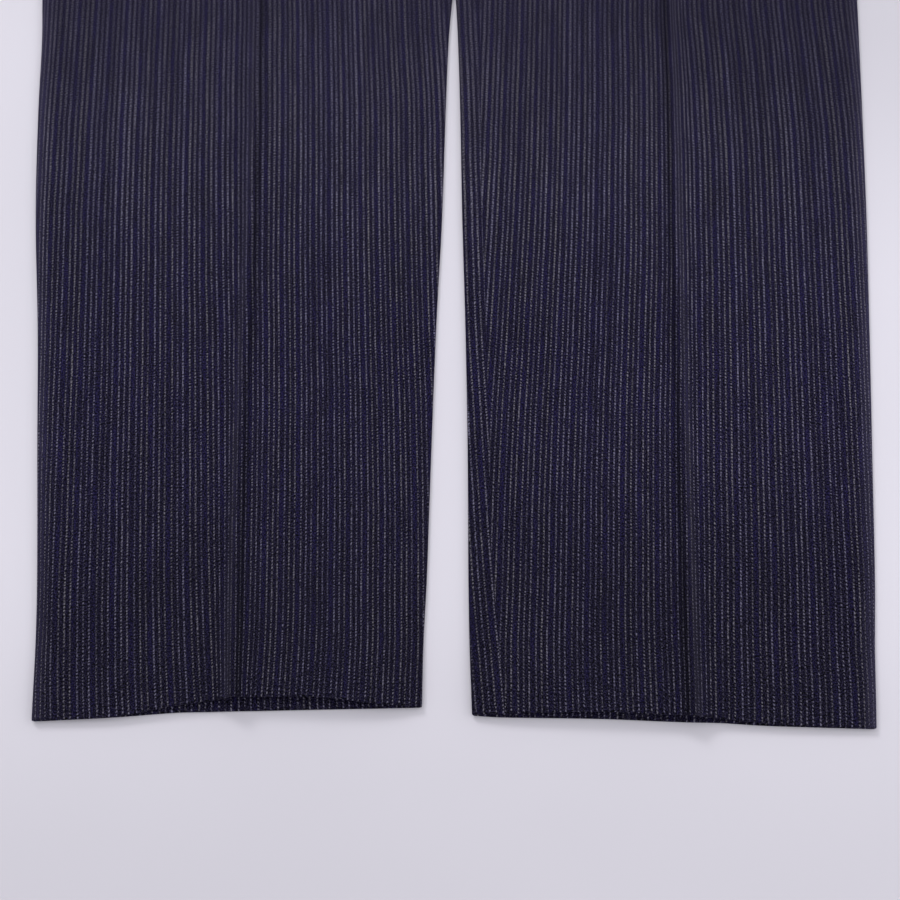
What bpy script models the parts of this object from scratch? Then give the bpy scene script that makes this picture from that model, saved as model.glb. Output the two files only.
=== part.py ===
"""Hakama trousers laid flat on their back: two creased legs, front pleats, a waistband.

Metres, +Z up.  X runs across, +Y runs from the hems to the waist, and the cloth rests on
z = 0.  Every panel is one wall of cloth, lofted through sections that are worked out from
the sizes below.  Left and right are as seen from above with the hems nearest.
"""
import math
from collections import namedtuple

import bmesh
import bpy

# ---------------------------------------------------------------- cloth and seams
CLOTH = 0.0010          # one layer of cloth
SEAM = 0.0003           # clearance between sewn pieces
HEM_TURN = 0.0240       # hem turned up inside, which doubles the cloth there
HEM_STEP = 0.0006       # length over which the turned-up layer ends

# ---------------------------------------------------------------- heights above the hem line
CUSP = 0.622            # the legs' inner folds first touch
CROTCH = 0.640          # the four leg seams meet
CROTCH_FLAT = 0.672     # the centre seams lie flat from here up
PLEAT_FADE = 0.710      # pleats have faded out below this
PLEAT_OPEN = 0.740      # pleats are fully folded above this
WAIST_SEAM = 0.925      # top edge of the panels
BAND_TOP = 0.965        # top edge of the waistband
WAIST_DIP = 0.008       # how far the front waist dips at the centre
DIP_START = 0.800       # the dip grows from here up to the waist seam

# ---------------------------------------------------------------- waist and pleats
CENTRE_AT_CROTCH = 0.0033   # the centre seam leans a little to the right at the crotch
SIDE_AT_WAIST = 0.2260
BAND = 0.0034               # waistband: two layers and their turnings
FOLD_AT_WAIST = 0.0040      # radius of the side folds at the waist
PLEAT_DEPTH = 0.0180        # each pleat turns under by this at the waist seam
PLEAT_EASE = 1.50           # how gently the pleats start to close
PLEAT_STACK = CLOTH + SEAM  # rise from one folded layer to the next
FIRST_PLEAT = 0.0360        # first fold line from the centre seam
PLEAT_RAMP = 0.0070         # cloth climbs onto a pleat's hidden layers over this
PLEAT_CLEAR = 0.0030        # and is fully up this far before them
PLEATS = 3                  # a leg, the outermost runs into the leg's crease

# ---------------------------------------------------------------- leg outlines
# A row for each section: its height, and the distances from the centre line out to the
# side fold, the crease and the inner fold.  Above the pleats' start the side and the
# crease are given as they would lie with the pleats let out.
Section = namedtuple("Section", "up side crease inner")
LEFT_OUTLINE = (
    Section(0.000, 0.2793, 0.1446, 0.0187),
    Section(0.050, 0.2824, 0.1462, 0.0180),
    Section(0.100, 0.2867, 0.1477, 0.0161),
    Section(0.200, 0.2974, 0.1501, 0.0134),
    Section(0.300, 0.3080, 0.1517, 0.0103),
    Section(0.400, 0.3204, 0.1529, 0.0060),
    Section(0.500, 0.3291, 0.1550, 0.0034),
    Section(0.570, 0.3337, 0.1572, 0.0010),
    Section(0.6125, 0.3380, 0.1586, -0.0020),
    Section(CUSP, 0.3387, 0.1589, -0.00315),
    Section(0.700, 0.3415, 0.1612, 0.0),
    Section(0.800, 0.3395, 0.1670, 0.0),
    Section(WAIST_SEAM, 0.3340, 0.1760, 0.0),
)
RIGHT_OUTLINE = (
    Section(0.000, 0.2841, 0.1612, 0.0147),
    Section(0.050, 0.2891, 0.1626, 0.0133),
    Section(0.100, 0.2950, 0.1642, 0.0128),
    Section(0.200, 0.3042, 0.1672, 0.0127),
    Section(0.300, 0.3133, 0.1705, 0.0115),
    Section(0.400, 0.3220, 0.1738, 0.0094),
    Section(0.500, 0.3295, 0.1773, 0.0081),
    Section(0.570, 0.3345, 0.1796, 0.0065),
    Section(0.6125, 0.3375, 0.1810, 0.0047),
    Section(CUSP, 0.3382, 0.1813, 0.00345),
    Section(0.700, 0.3415, 0.1800, 0.0),
    Section(0.800, 0.3395, 0.1790, 0.0),
    Section(WAIST_SEAM, 0.3340, 0.1780, 0.0),
)

# ---------------------------------------------------------------- hems and crease
# A row for each place across a leg, from the side fold (0) over the crease (1) to the
# inner fold (2): how far the two hems lie above the hem line, and how high the front
# stands above its folds at the hem.
Across = namedtuple("Across", "place back_hem front_hem rise")
LEFT_HEM = (
    Across(0.00, 0.0000, 0.0000, 0.0000),
    Across(0.39, 0.0027, 0.0022, 0.0006),
    Across(0.72, 0.0061, 0.0096, 0.0020),
    Across(0.88, 0.0066, 0.0124, 0.0028),
    Across(1.00, 0.0070, 0.0131, 0.0105),
    Across(1.09, 0.0072, 0.0141, 0.0066),
    Across(1.46, 0.0082, 0.0138, 0.0076),
    Across(1.79, 0.0090, 0.0100, 0.0038),
    Across(2.00, 0.0096, 0.0096, 0.0000),
)
RIGHT_HEM = (
    Across(0.00, -0.0052, -0.0052, 0.0000),
    Across(0.41, -0.0037, -0.0036, 0.0005),
    Across(0.63, -0.0027, -0.0020, 0.0010),
    Across(0.84, -0.0010, 0.0005, 0.0020),
    Across(1.00, -0.0006, 0.0010, 0.0085),
    Across(1.08, -0.0002, 0.0022, 0.0052),
    Across(1.41, 0.0018, 0.0044, 0.0054),
    Across(1.87, 0.0029, 0.0040, 0.0020),
    Across(2.00, 0.0041, 0.0041, 0.0000),
)
HEM_FADE = 0.120        # the hems' slant and arch fade out over this height
LOWEST_HEM = RIGHT_HEM[0].back_hem

# Up the leg: the radius of the folds, the share of the hem's rise that is left, and how
# far the right leg's back panel wraps over onto the front.
Along = namedtuple("Along", "up fold rise wrap")
ALONG_LEG = (
    Along(0.000, 0.00200, 1.00, 0.0215),
    Along(0.026, 0.00200, 0.93, 0.0209),
    Along(0.060, 0.00125, 0.84, 0.0195),
    Along(0.130, 0.00115, 0.66, 0.0158),
    Along(0.240, 0.00110, 0.50, 0.0154),
    Along(0.430, 0.00110, 0.38, 0.0154),
    Along(0.600, 0.00110, 0.33, 0.0188),
    Along(0.6125, 0.00110, 0.32, 0.0190),
    Along(0.634, 0.00112, 0.31, 0.0045),
    Along(CROTCH, 0.00115, 0.30, 0.0),
    Along(0.700, 0.00140, 0.22, 0.0),
    Along(0.760, 0.00190, 0.06, 0.0),
    Along(0.820, 0.00265, 0.00, 0.0),
    Along(0.880, 0.00350, 0.00, 0.0),
    Along(WAIST_SEAM, FOLD_AT_WAIST, 0.00, 0.0),
)

# ---------------------------------------------------------------- where sections are cut
LEG_UPS = (0.0, 0.012, HEM_TURN, HEM_TURN + HEM_STEP, 0.060, 0.100, 0.150, 0.210, 0.280,
           0.350, 0.420, 0.490, 0.550, 0.590, 0.6125, CUSP, 0.634, CROTCH, 0.655,
           CROTCH_FLAT, 0.690)
PLEAT_UPS = (PLEAT_FADE, 0.722, 0.731, PLEAT_OPEN, 0.760, 0.785, 0.810, 0.840, 0.870,
             0.900, WAIST_SEAM)
BACK_UPS = LEG_UPS + (0.730, 0.770, 0.810, 0.850, 0.890, WAIST_SEAM)
FRONT_PLACES = (1.87, 1.66, 1.41, 1.20, 1.08, 1.03, 1.00, 0.96, 0.90, 0.72, 0.39, 0.18)
BACK_PLACES = (1.60, 1.20, 0.80, 0.40)
BAND_PLACES = 8
ROLL_STEPS = 3

# Order of the stations across a panel, so that unlike sections join in step: the inner
# turn counts up from 0, then come the flat cloth and the pleats, and then the side turn.
KEY_PLEAT = 100         # from one pleat's first station to the next one's
KEY_PLEAT_END = 40      # a pleat's last station, counted from its first
KEY_CREASE = 300        # the crease, which the last pleat starts from
KEY_HALF = 300          # from the crease to either edge of the leg
KEY_BACK = 10           # the inner edge of a back panel's flat cloth
KEY_BACK_HALF = 100     # and half of its width
KEY_SIDE = 1000

# Stations of their own, each with its order and its place: beyond the last pleat, as a
# share of the way to the side; on the wrapped strip, as a share of the way from its seam
# to the inner fold; and round that fold, in quarter turns from its top.
Spot = namedtuple("Spot", "key share")
OUTSIDE_PLEATS = (Spot(450, 0.35), Spot(510, 0.70))
WRAPPED_STRIP = (Spot(-30, 0.00), Spot(-22, 0.40), Spot(-14, 0.75))
WRAPPED_FOLD = (Spot(-6, 0.0), Spot(-5, 0.5), Spot(-4, 1.0), Spot(0, 1.5),
                Spot(ROLL_STEPS, 2.0))

LEFT = -1
RIGHT = 1

NAVY = (0.012, 0.011, 0.026, 1.0)
CLOTH_ROUGHNESS = 0.82
SHARP_ANGLE = 35.0      # edges that turn more than this, in degrees, stay sharp

Y_MIDDLE = (BAND_TOP + LOWEST_HEM) / 2

# A point of a section: its order across, place, level, heading, and whether it lies on
# the upper side of the leg.
Station = namedtuple("Station", "key x z heading over")


# ---------------------------------------------------------------- sizes read from the tables
def table_value(rows, name, at):
    """A smooth curve through one column of a table, keyed by its first column."""
    keys = [row[0] for row in rows]
    values = [getattr(row, name) for row in rows]
    at = min(max(at, keys[0]), keys[-1])
    i = max(k for k in range(len(keys) - 1) if keys[k] <= at)

    def slope(k):
        low = max(k - 1, 0)
        high = min(k + 1, len(keys) - 1)
        return (values[high] - values[low]) / (keys[high] - keys[low])

    span = keys[i + 1] - keys[i]
    t = (at - keys[i]) / span
    start, end = values[i], values[i + 1]
    bend = (2 * t - 3) * t * t
    return (start * (1 + bend) - end * bend
            + span * t * (1 - t) * (slope(i) * (1 - t) - slope(i + 1) * t))


def linear_value(rows, name, at):
    """Straight lines through one column of a table, keyed by its first column."""
    for low, high in zip(rows, rows[1:]):
        if at <= high[0]:
            t = max(0.0, (at - low[0]) / (high[0] - low[0]))
            return getattr(low, name) * (1 - t) + getattr(high, name) * t
    return getattr(rows[-1], name)


def ease(low, high, at):
    """0 below low, 1 above high, and smooth between."""
    t = min(max((at - low) / (high - low), 0.0), 1.0)
    return t * t * (3 - 2 * t)


def outline_of(side):
    return LEFT_OUTLINE if side == LEFT else RIGHT_OUTLINE


def hem_of(side):
    return LEFT_HEM if side == LEFT else RIGHT_HEM


def pleat_depth(up):
    share = min(max((up - PLEAT_OPEN) / (WAIST_SEAM - PLEAT_OPEN), 0.0), 1.0)
    return PLEAT_DEPTH * share ** PLEAT_EASE


def side_edge(side, up):
    """The leg's outer outline: each pleat draws it in by twice its depth."""
    return table_value(outline_of(side), "side", up) - 2 * PLEATS * pleat_depth(up)


def crease_line(side, up):
    """The crease, let out: above the pleats' start it is the last pleat's fold line."""
    return table_value(outline_of(side), "crease", up)


def inner_edge(side, up):
    """The inner fold, and from the cusp up the centre seam."""
    if up < CUSP:
        return table_value(outline_of(side), "inner", up)
    lean = CENTRE_AT_CROTCH * (1 - ease(CROTCH, WAIST_SEAM, up))
    return side * lean + SEAM / 2


def fold_radius(up):
    return table_value(ALONG_LEG, "fold", up)


def wrap_width(side, up):
    return linear_value(ALONG_LEG, "wrap", up) if side == RIGHT else 0.0


def place_across(side, up, x):
    """0 at the side fold, 1 at the crease, 2 at the inner fold."""
    crease = crease_line(side, up)
    edge = table_value(outline_of(side), "side", up)
    if x >= crease:
        return min(max((edge - x) / (edge - crease), 0.0), 1.0)
    return min(1 + (crease - x) / (crease - inner_edge(side, up)), 2.0)


def x_of_place(side, up, place):
    crease = crease_line(side, up)
    if place <= 1:
        edge = table_value(outline_of(side), "side", up)
        return edge + (crease - edge) * place
    return crease + (inner_edge(side, up) - crease) * (place - 1)


def rise(side, up, x):
    """How far the front stands above the folds here: the crease's ridge and the hollow."""
    at_hem = linear_value(hem_of(side), "rise", place_across(side, up, x))
    return at_hem * table_value(ALONG_LEG, "rise", up)


def top_level(side, up, x):
    return CLOTH / 2 + 2 * fold_radius(up) + rise(side, up, x)


def along_y(side, up, x, over):
    """A section's own Y: slanted and arched at the hem, and dipped at the front waist."""
    hem = "front_hem" if over else "back_hem"
    shift = linear_value(hem_of(side), hem, place_across(side, up, x))
    y = up + shift * (1 - ease(0.0, HEM_FADE, up))
    if over:
        share = min(abs(x) / SIDE_AT_WAIST, 1.0)
        y -= WAIST_DIP * (1 - share * share) * ease(DIP_START, WAIST_SEAM, up)
    return y - Y_MIDDLE


def turned_up(up):
    """Extra cloth on the inside: the hem's turned-up layer."""
    return CLOTH if up <= HEM_TURN else 0.0


# ---------------------------------------------------------------- edges and folds
def roll(radius, angle):
    """Steps along an edge that ends in a turn: distance along, drop, and angle turned."""
    length = radius * math.pi / 2
    straight = length - radius * angle
    steps = []
    for i in range(ROLL_STEPS + 1):
        s = length * i / ROLL_STEPS
        turned = max(0.0, (s - straight) / radius)
        along = min(s, straight) + radius * math.sin(turned)
        steps.append((along, radius * (1 - math.cos(turned)), turned))
    return steps


def seam_share(up):
    """1 where the inner edge is a fold, 0 where it is a flat centre seam."""
    return 1 - ease(CROTCH, CROTCH_FLAT, up)


def pleat_points(start_x, end_z, depth, angle):
    """A pleat's fold: over, back under by its depth, and on again at the lower level."""
    radius_length = math.pi * PLEAT_STACK / 2
    points = []
    x, z, heading = 0.0, 0.0, 0.0

    def arc(turn):
        nonlocal x, z, heading
        for _ in range(ROLL_STEPS):
            step = radius_length / ROLL_STEPS
            bend = turn / ROLL_STEPS
            chord = step if abs(bend) < 1e-6 else step * math.sin(bend / 2) / (bend / 2)
            x += chord * math.cos(heading + bend / 2)
            z += chord * math.sin(heading + bend / 2)
            heading += bend
            points.append((x, z, heading))

    points.append((x, z, heading))
    arc(-angle)
    x += depth * math.cos(heading)
    z += depth * math.sin(heading)
    points.append((x, z, heading))
    arc(angle)
    climb = -z
    return [(start_x + px, end_z + climb + pz, ph) for px, pz, ph in points], climb


# ---------------------------------------------------------------- sections
def inner_roll(side, up, front):
    """Stations from the inner seam to the flat cloth, on a front or a back panel."""
    radius = fold_radius(up)
    wrap = wrap_width(side, up)
    wrapped = front and wrap > 0
    share = 0.0 if wrapped else seam_share(up)
    angle = share * math.pi / 2
    limit = inner_edge(side, up)
    if wrapped:
        limit += wrap + SEAM / 2
    steps = roll(radius, angle)
    reach = steps[-1][0]
    edge_x = limit + math.sin(angle) * CLOTH / 2
    stations = []
    for i, (along, drop, turned) in enumerate(reversed(steps)):
        x = edge_x + reach - along
        gap = math.sin(angle) * SEAM / 2 if i == 0 else 0.0
        if front:
            z = top_level(side, up, x) - drop + gap
            stations.append(Station(i, x, z, turned if turned else None, True))
        else:
            z = CLOTH / 2 + drop - gap
            stations.append(Station(i, x, z, -turned, False))
    return stations


def side_roll(side, up, front):
    """Stations from the flat cloth to the side seam."""
    steps = roll(fold_radius(up), math.pi / 2)
    reach = steps[-1][0]
    edge_x = side_edge(side, up) - CLOTH / 2
    stations = []
    for i, (along, drop, turned) in enumerate(steps):
        x = edge_x - reach + along
        gap = SEAM / 2 if i == ROLL_STEPS else 0.0
        if front:
            level = CLOTH / 2 + 2 * fold_radius(up)
            stations.append(Station(KEY_SIDE + i, x, level - drop + gap, -turned, True))
        else:
            stations.append(Station(KEY_SIDE + i, x, CLOTH / 2 + drop - gap, turned, False))
    return stations


def leg_front_section(side, up):
    """A front panel's section where it has no pleats."""
    stations = inner_roll(side, up, True)
    for place in FRONT_PLACES:
        x = x_of_place(side, up, place)
        key = KEY_CREASE + (1 - place) * KEY_HALF
        if x > stations[-1].x + CLOTH:
            stations.append(Station(key, x, top_level(side, up, x), None, True))
    return stations + side_roll(side, up, True)


def pleated_section(side, up):
    """A front panel's section through its pleats."""
    level = CLOTH / 2 + 2 * fold_radius(up)
    depth = pleat_depth(up)
    angle = math.pi * ease(PLEAT_FADE, PLEAT_OPEN, up)
    last_line = crease_line(side, up)
    stations = inner_roll(side, up, True)
    for pleat in range(PLEATS):
        share = pleat / (PLEATS - 1)
        open_line = FIRST_PLEAT + (last_line - FIRST_PLEAT) * share
        line = open_line - 2 * pleat * depth
        start = line - PLEAT_STACK / 2
        straight = max(depth, CLOTH)
        end_z = level + rise(side, up, line)
        points, climb = pleat_points(start, end_z, straight, angle)
        key = KEY_PLEAT * (pleat + 1)
        under = start - straight - PLEAT_CLEAR
        foot = under - PLEAT_RAMP
        foot_z = level + rise(side, up, foot)
        stations.append(Station(key, foot, foot_z, None, True))
        stations.append(Station(key + 1, under, end_z + climb, None, True))
        for i, (x, z, heading) in enumerate(points):
            stations.append(Station(key + 2 + i, x, z, heading, True))
        after = line + PLEAT_CLEAR
        after_z = level + rise(side, up, after)
        stations.append(Station(key + KEY_PLEAT_END, after, after_z, None, True))
    pleats_end = stations[-1].x
    edge = side_edge(side, up)
    for spot in OUTSIDE_PLEATS:
        x = pleats_end + (edge - pleats_end) * spot.share
        z = level + rise(side, up, x + 2 * PLEATS * depth)
        stations.append(Station(spot.key, x, z, None, True))
    return stations + side_roll(side, up, True)


def back_section(side, up):
    """A back panel's section; the right one wraps over the inner fold onto the front."""
    wrap = wrap_width(side, up)
    if wrap > 0:
        stations = wrapped_edge(side, up, wrap)
    else:
        stations = inner_roll(side, up, False)
    edge = side_edge(side, up)
    inner = inner_edge(side, up)
    for place in BACK_PLACES:
        x = edge + (inner - edge) * place / 2
        key = KEY_BACK + (2 - place) * KEY_BACK_HALF
        stations.append(Station(key, x, CLOTH / 2, 0.0, False))
    return stations + side_roll(side, up, False)


def wrapped_edge(side, up, wrap):
    """The back panel's inner edge: from the seam on the front, round the inner fold."""
    radius = fold_radius(up)
    inner = inner_edge(side, up)
    seam_x = inner + wrap - SEAM / 2
    fold_x = inner + CLOTH / 2 + radius
    stations = []
    for spot in WRAPPED_STRIP:
        x = seam_x + (fold_x - seam_x) * spot.share
        stations.append(Station(spot.key, x, top_level(side, up, x), math.pi, True))
    for spot in WRAPPED_FOLD:
        turn = math.pi / 2 * (1 + spot.share)
        x = fold_x + radius * math.cos(turn)
        z = CLOTH / 2 + radius + radius * math.sin(turn)
        stations.append(Station(spot.key, x, z, turn + math.pi / 2, spot.share < 1.0))
    return stations


# ---------------------------------------------------------------- walls from sections
def filled_headings(stations):
    """Gives each station with no heading the slope between its neighbours."""
    filled = []
    last = len(stations) - 1
    for i, s in enumerate(stations):
        if s.heading is None:
            low, high = stations[max(i - 1, 0)], stations[min(i + 1, last)]
            s = s._replace(heading=math.atan2(high.z - low.z, high.x - low.x))
        filled.append(s)
    return filled


def wall_points(stations, place, thickness, extra, front):
    """Outer and inner points of a section; place(x, over) gives its X and Y."""
    outer, inner = [], []
    lift = 1 if front else -1
    for s in filled_headings(stations):
        nx = -math.sin(s.heading) * lift
        nz = math.cos(s.heading) * lift
        out = thickness / 2
        back = thickness / 2 + extra
        outer.append((*place(s.x + nx * out, s.x, s.over), s.z + nz * out))
        inner.append((*place(s.x - nx * back, s.x, s.over), s.z - nz * back))
    return [s.key for s in stations], outer, inner


def strip(a, a_keys, b, b_keys):
    """Faces between two rows of points, joined in the order of their keys."""
    faces = []
    i = j = 0
    while i < len(a) - 1 or j < len(b) - 1:
        next_a = a_keys[i + 1] if i < len(a) - 1 else math.inf
        next_b = b_keys[j + 1] if j < len(b) - 1 else math.inf
        if next_a == next_b:
            faces.append((a[i], a[i + 1], b[j + 1], b[j]))
            i += 1
            j += 1
        elif next_a < next_b:
            faces.append((a[i], a[i + 1], b[j]))
            i += 1
        else:
            faces.append((a[i], b[j + 1], b[j]))
            j += 1
    return faces


def wall_object(name, sections, material, collection):
    """One closed wall of cloth from its sections of (keys, outer points, inner points)."""
    mesh = bpy.data.meshes.new(name)
    shell = bmesh.new()
    rows = []
    for keys, outer, inner in sections:
        rows.append((keys, [shell.verts.new(p) for p in outer],
                     [shell.verts.new(p) for p in inner]))
    for (a_keys, a_out, a_in), (b_keys, b_out, b_in) in zip(rows, rows[1:]):
        faces = strip(a_out, a_keys, b_out, b_keys)
        faces += [tuple(reversed(f)) for f in strip(a_in, a_keys, b_in, b_keys)]
        faces.append((a_out[0], b_out[0], b_in[0], a_in[0]))
        faces.append((a_in[-1], b_in[-1], b_out[-1], a_out[-1]))
        for face in faces:
            shell.faces.new(face)
    for end, (keys, outer, inner) in ((0, rows[0]), (1, rows[-1])):
        for k in range(len(keys) - 1):
            face = (outer[k], inner[k], inner[k + 1], outer[k + 1])
            shell.faces.new(face if end == 0 else tuple(reversed(face)))
    bmesh.ops.recalc_face_normals(shell, faces=shell.faces)
    shell.to_mesh(mesh)
    shell.free()
    mesh.shade_smooth()
    mesh.set_sharp_from_angle(angle=math.radians(SHARP_ANGLE))
    mesh.materials.append(material)
    panel = bpy.data.objects.new(name, mesh)
    collection.objects.link(panel)
    return panel


def leg_panel(name, side, front, material, collection):
    sections = []
    ups = LEG_UPS + PLEAT_UPS if front else BACK_UPS
    for up in ups:
        if not front:
            stations = back_section(side, up)
        elif up in PLEAT_UPS:
            stations = pleated_section(side, up)
        else:
            stations = leg_front_section(side, up)

        def place(x, section_x, over):
            return side * x, along_y(side, up, section_x, over)

        sections.append(wall_points(stations, place, CLOTH, turned_up(up), front))
    return wall_object(name, sections, material, collection)


# ---------------------------------------------------------------- waistband
def band_panel(name, front, material, collection):
    """Half of the waistband: it lies level and turns at both sides to meet the other."""
    level = BAND / 2 + (2 * FOLD_AT_WAIST if front else 0.0)
    turn_down = 1 if front else -1
    steps = roll(FOLD_AT_WAIST, math.pi / 2)
    edge_x = SIDE_AT_WAIST + CLOTH / 2 - BAND / 2
    half = []
    for i, (along, drop, turned) in enumerate(reversed(steps)):
        gap = SEAM / 2 if i == 0 else 0.0
        x = edge_x - steps[-1][0] + along
        half.append((x, level - turn_down * (drop - gap), turn_down * turned))
    flat = half[-1][0]
    stations = [(-x, z, h) for x, z, h in half]
    for i in range(1, BAND_PLACES):
        stations.append((-flat + 2 * flat * i / BAND_PLACES, level, 0.0))
    stations += [(x, z, -h) for x, z, h in reversed(half)]
    stations = [Station(i, x, z, h, front) for i, (x, z, h) in enumerate(stations)]
    sections = []
    for up in (WAIST_SEAM + SEAM, BAND_TOP):
        def place(x, section_x, over):
            share = min(abs(section_x) / SIDE_AT_WAIST, 1.0)
            dip = WAIST_DIP * (1 - share * share) if over else 0.0
            return x, up - dip - Y_MIDDLE

        sections.append(wall_points(stations, place, BAND, 0.0, front))
    return wall_object(name, sections, material, collection)


# ---------------------------------------------------------------- the garment
def cloth_material(name):
    material = bpy.data.materials.new(name)
    material.use_nodes = True
    shader = material.node_tree.nodes["Principled BSDF"]
    shader.inputs["Base Color"].default_value = NAVY
    shader.inputs["Roughness"].default_value = CLOTH_ROUGHNESS
    shader.inputs["Metallic"].default_value = 0.0
    return material


def main():
    for leftover in list(bpy.data.objects):
        bpy.data.objects.remove(leftover, do_unlink=True)
    collection = bpy.data.collections.new("hakama_trousers")
    bpy.context.scene.collection.children.link(collection)
    for side_name, side in (("left", LEFT), ("right", RIGHT)):
        for face_name, front in (("front", True), ("back", False)):
            name = f"{side_name}_{face_name}_leg"
            leg_panel(name, side, front, cloth_material(name + "_cloth"), collection)
    for face_name, front in (("front", True), ("back", False)):
        name = f"{face_name}_waistband"
        band_panel(name, front, cloth_material(name + "_cloth"), collection)


main()
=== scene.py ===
"""Hakama trousers laid flat: fine striped cloth, sewn and pressed, around the fixed frame.

Metres, +Z up.  +Y runs from the hems to the waist.  Each panel is one ply of cloth that
turns up inside at its hem; the fronts carry the pressed crease and the pleats.  Left and
right are as seen from above with the hems nearest.
"""
import math
from collections import namedtuple

import bmesh
import bpy
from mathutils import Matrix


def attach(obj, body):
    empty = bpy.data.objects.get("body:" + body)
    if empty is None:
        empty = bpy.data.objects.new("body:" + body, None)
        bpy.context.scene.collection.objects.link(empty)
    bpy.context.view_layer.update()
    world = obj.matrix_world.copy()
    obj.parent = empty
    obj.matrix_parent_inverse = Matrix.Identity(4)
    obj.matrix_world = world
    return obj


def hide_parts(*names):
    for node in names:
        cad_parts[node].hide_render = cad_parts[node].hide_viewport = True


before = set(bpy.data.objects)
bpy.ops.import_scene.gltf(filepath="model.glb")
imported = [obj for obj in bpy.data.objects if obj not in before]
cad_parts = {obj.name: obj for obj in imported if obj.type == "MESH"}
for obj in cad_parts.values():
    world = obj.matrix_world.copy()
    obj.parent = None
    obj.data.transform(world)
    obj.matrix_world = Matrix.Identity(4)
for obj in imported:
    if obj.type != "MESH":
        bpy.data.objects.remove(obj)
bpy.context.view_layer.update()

LEFT = -1
RIGHT = 1


def table(columns, *rows):
    """A short table with named columns; most are keyed by their first one."""
    row = namedtuple("Row", columns)
    return tuple(row(*values) for values in rows)


# ---- cloth and seams
WALL = 0.0010  # the frame's wall, which the cloth follows
PLY = 0.0008  # one ply of cloth
PLY_GAP = 0.00012  # air between the two plies of a hem
SEAM_GAP = 0.00005  # between sewn edges
DITCH = 0.0004  # how deep a flat seam sinks
DITCH_WIDTH = 0.0012
DITCH_ENDS = 4  # where it has died out, in its widths
HEM_TURN = 0.0240  # the facing turned up inside a hem
LOWEST_ROW = 0.0015  # where the hem's fold starts
SHARP = math.radians(55)  # edges sharper than this show as edges

# ---- heights above the hem line
CUSP = 0.622  # the legs' inner folds first touch
CROTCH = 0.640
CROTCH_FLAT = 0.672  # the centre seams lie flat from here up
PLEAT_FADE = 0.710  # the pleats start
PLEAT_OPEN = 0.740  # take up cloth
PLEAT_OVER = 0.765  # and are folded right over
WAIST_SEAM = 0.925
BAND_TOP = 0.965
WAIST_DIP = 0.008  # of the front, at the centre
DIP_START = 0.800

# ---- waist and pleats
CENTRE_AT_CROTCH = 0.0033  # the centre seam leans by this
SIDE_AT_WAIST = 0.2260
BAND = 0.0034  # the waistband's thickness
FOLD_AT_WAIST = 0.0040
PLEAT_DEPTH = 0.0180  # at the waist seam
PLEAT_EASE = 1.50  # how gently the pleats close
PLEAT_STACK = 0.0013  # from one folded layer to the next
FIRST_PLEAT = 0.0360  # from the centre seam
PLEAT_RAMP = 0.0070  # the cloth climbs onto a pleat over this
PLEAT_CLEAR = 0.0030
PLEATS = 3  # a leg, the outermost on the crease

# ---- leg outlines
# Distances from the centre line out to the side fold, the crease and the inner fold.
OUTLINE = "up side crease inner"
LEFT_OUTLINE = table(
    OUTLINE,
    (0.000, 0.2793, 0.1446, 0.0187),
    (0.050, 0.2824, 0.1462, 0.0180),
    (0.100, 0.2867, 0.1477, 0.0161),
    (0.200, 0.2974, 0.1501, 0.0134),
    (0.300, 0.3080, 0.1517, 0.0103),
    (0.400, 0.3204, 0.1529, 0.0060),
    (0.500, 0.3291, 0.1550, 0.0034),
    (0.570, 0.3337, 0.1572, 0.0010),
    (0.6125, 0.3380, 0.1586, -0.0020),
    (CUSP, 0.3387, 0.1589, -0.00315),
    (0.700, 0.3415, 0.1612, 0.0),
    (0.800, 0.3395, 0.1670, 0.0),
    (WAIST_SEAM, 0.3340, 0.1760, 0.0),
)
RIGHT_OUTLINE = table(
    OUTLINE,
    (0.000, 0.2841, 0.1612, 0.0147),
    (0.050, 0.2891, 0.1626, 0.0133),
    (0.100, 0.2950, 0.1642, 0.0128),
    (0.200, 0.3042, 0.1672, 0.0127),
    (0.300, 0.3133, 0.1705, 0.0115),
    (0.400, 0.3220, 0.1738, 0.0094),
    (0.500, 0.3295, 0.1773, 0.0081),
    (0.570, 0.3345, 0.1796, 0.0065),
    (0.6125, 0.3375, 0.1810, 0.0047),
    (CUSP, 0.3382, 0.1813, 0.00345),
    (0.700, 0.3415, 0.1800, 0.0),
    (0.800, 0.3395, 0.1790, 0.0),
    (WAIST_SEAM, 0.3340, 0.1780, 0.0),
)

# ---- hems and crease
# Across a leg from the side fold (0) over the crease (1) to the inner fold (2).
ACROSS = "place back_hem front_hem rise"
LEFT_HEM = table(
    ACROSS,
    (0.00, 0.0000, 0.0000, 0.0000),
    (0.39, 0.0027, 0.0022, 0.0006),
    (0.72, 0.0061, 0.0096, 0.0020),
    (0.88, 0.0066, 0.0124, 0.0028),
    (1.00, 0.0070, 0.0131, 0.0105),
    (1.09, 0.0072, 0.0141, 0.0066),
    (1.46, 0.0082, 0.0138, 0.0076),
    (1.79, 0.0090, 0.0100, 0.0038),
    (2.00, 0.0096, 0.0096, 0.0000),
)
RIGHT_HEM = table(
    ACROSS,
    (0.00, -0.0052, -0.0052, 0.0000),
    (0.41, -0.0037, -0.0036, 0.0005),
    (0.63, -0.0027, -0.0020, 0.0010),
    (0.84, -0.0010, 0.0005, 0.0020),
    (1.00, -0.0006, 0.0010, 0.0085),
    (1.08, -0.0002, 0.0022, 0.0052),
    (1.41, 0.0018, 0.0044, 0.0054),
    (1.87, 0.0029, 0.0040, 0.0020),
    (2.00, 0.0041, 0.0041, 0.0000),
)
HEM_FADE = 0.120
LOWEST_HEM = RIGHT_HEM[0].back_hem
Y_MIDDLE = (BAND_TOP + LOWEST_HEM) / 2

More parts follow.
